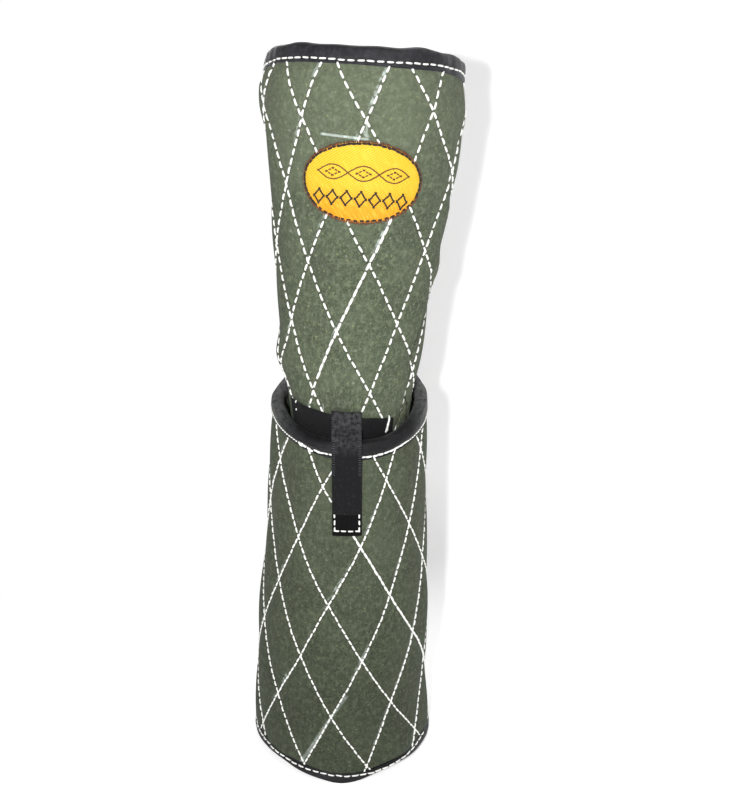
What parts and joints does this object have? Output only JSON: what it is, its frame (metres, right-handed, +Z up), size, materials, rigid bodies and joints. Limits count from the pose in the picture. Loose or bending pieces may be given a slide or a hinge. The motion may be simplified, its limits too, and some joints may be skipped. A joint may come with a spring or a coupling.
{
  "type": "padded bite sleeve",
  "caption": "Padded quilted canvas bite sleeve: two flared tubes, open at both ends, with bound edges, linked by a webbing strap.",
  "frame": {"origin": "on the floor, under the middle of the whole sleeve's box", "axes": "+Z up along the arm, from the bottom opening to the top mouth; the strap and the patch are on the -Y side"},
  "size_m": [0.1794, 0.1718, 0.6014],
  "materials": {
    "quilted_canvas": "napped olive canvas, diamond quilted with white thread",
    "binding_tape": "black woven binding tape with a soft sheen",
    "webbing": "black ribbed webbing",
    "patch_twill": "yellow-orange twill with a stitched edge"
  },
  "bodies": {
    "root": {"lower_sleeve": "quilted_canvas", "lower_bottom_binding": "binding_tape", "lower_mouth_binding": "binding_tape", "upper_sleeve": "quilted_canvas", "upper_mouth_binding": "binding_tape", "cross_band": "webbing", "link_strap": "webbing", "oval_patch": "patch_twill"}
  },
  "joints": []
}
